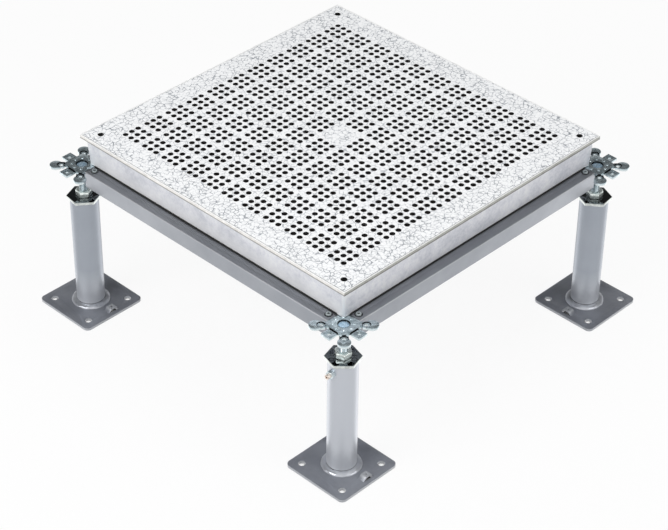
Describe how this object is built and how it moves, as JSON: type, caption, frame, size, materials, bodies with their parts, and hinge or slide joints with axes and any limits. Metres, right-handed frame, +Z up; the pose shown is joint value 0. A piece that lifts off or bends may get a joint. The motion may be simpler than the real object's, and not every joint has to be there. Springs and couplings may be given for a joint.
{
  "type": "raised access floor panel",
  "caption": "Perforated raised access floor panel with laminate top on height-adjustable pedestals and stringers, one square bay.",
  "frame": {"origin": "on the floor under the middle of the panel", "axes": "+Z up; X and Y along the panel's edges; the front pedestal stands at -X -Y"},
  "size_m": [0.725, 0.725, 0.34],
  "materials": {
    "cast_aluminium": "as cast",
    "laminate": "satin, fine grey crackle pattern",
    "trim": "matt",
    "grey_paint": "semi-gloss silver grey",
    "base_paint": "semi-gloss grey",
    "zinc": "bright zinc plate",
    "bright_zinc": "polished zinc plate",
    "gasket": "matt foam strip",
    "black_screw": "black oxide"
  },
  "bodies": {
    "floor_bay": {"panel_casting": "cast_aluminium", "panel_covering": "laminate", "edge_trim": "trim", "corner_screws": "black_screw", "stringer_screws": "zinc", "stringer_gaskets": "gasket", "front_left_stringer": "grey_paint", "front_right_stringer": "grey_paint", "rear_left_stringer": "grey_paint", "rear_right_stringer": "grey_paint", "front_head": "zinc", "front_rod": "zinc", "left_head": "zinc", "left_rod": "zinc", "right_head": "zinc", "right_rod": "zinc", "rear_head": "zinc", "rear_rod": "zinc"},
    "front_leg": {"front_cap": "bright_zinc", "front_tube": "grey_paint", "front_set_screw": "zinc", "front_set_nut": "zinc", "front_base_plate": "base_paint"},
    "front_nut": {"front_level_nut": "zinc"},
    "left_leg": {"left_cap": "bright_zinc", "left_tube": "grey_paint", "left_set_screw": "zinc", "left_set_nut": "zinc", "left_base_plate": "base_paint"},
    "left_nut": {"left_level_nut": "zinc"},
    "right_leg": {"right_cap": "bright_zinc", "right_tube": "grey_paint", "right_set_screw": "zinc", "right_set_nut": "zinc", "right_base_plate": "base_paint"},
    "right_nut": {"right_level_nut": "zinc"},
    "rear_leg": {"rear_cap": "bright_zinc", "rear_tube": "grey_paint", "rear_set_screw": "zinc", "rear_set_nut": "zinc", "rear_base_plate": "base_paint"},
    "rear_nut": {"rear_level_nut": "zinc"}
  },
  "joints": [
    {"name": "front_leg_slide", "type": "slide", "parent": "floor_bay", "child": "front_leg", "axis": [0, 0, 1], "range_m": [-0.025, 0.025]},
    {"name": "front_nut_turn", "type": "hinge", "parent": "front_leg", "child": "front_nut", "pos_m": [-0.3, -0.3, 0.2275], "axis": [0, 0, 1], "range_deg": [-4500, 4500]},
    {"name": "left_leg_slide", "type": "slide", "parent": "floor_bay", "child": "left_leg", "axis": [0, 0, 1], "range_m": [-0.025, 0.025]},
    {"name": "left_nut_turn", "type": "hinge", "parent": "left_leg", "child": "left_nut", "pos_m": [-0.3, 0.3, 0.2275], "axis": [0, 0, 1], "range_deg": [-4500, 4500]},
    {"name": "right_leg_slide", "type": "slide", "parent": "floor_bay", "child": "right_leg", "axis": [0, 0, 1], "range_m": [-0.025, 0.025]},
    {"name": "right_nut_turn", "type": "hinge", "parent": "right_leg", "child": "right_nut", "pos_m": [0.3, -0.3, 0.2275], "axis": [0, 0, 1], "range_deg": [-4500, 4500]},
    {"name": "rear_leg_slide", "type": "slide", "parent": "floor_bay", "child": "rear_leg", "axis": [0, 0, 1], "range_m": [-0.025, 0.025]},
    {"name": "rear_nut_turn", "type": "hinge", "parent": "rear_leg", "child": "rear_nut", "pos_m": [0.3, 0.3, 0.2275], "axis": [0, 0, 1], "range_deg": [-4500, 4500]}
  ],
  "couplings": [
    {"joint": "front_nut_turn", "follows": "front_leg_slide", "rad_per_m": 3141.6},
    {"joint": "left_nut_turn", "follows": "left_leg_slide", "rad_per_m": 3141.6},
    {"joint": "right_nut_turn", "follows": "right_leg_slide", "rad_per_m": 3141.6},
    {"joint": "rear_nut_turn", "follows": "rear_leg_slide", "rad_per_m": 3141.6}
  ]
}
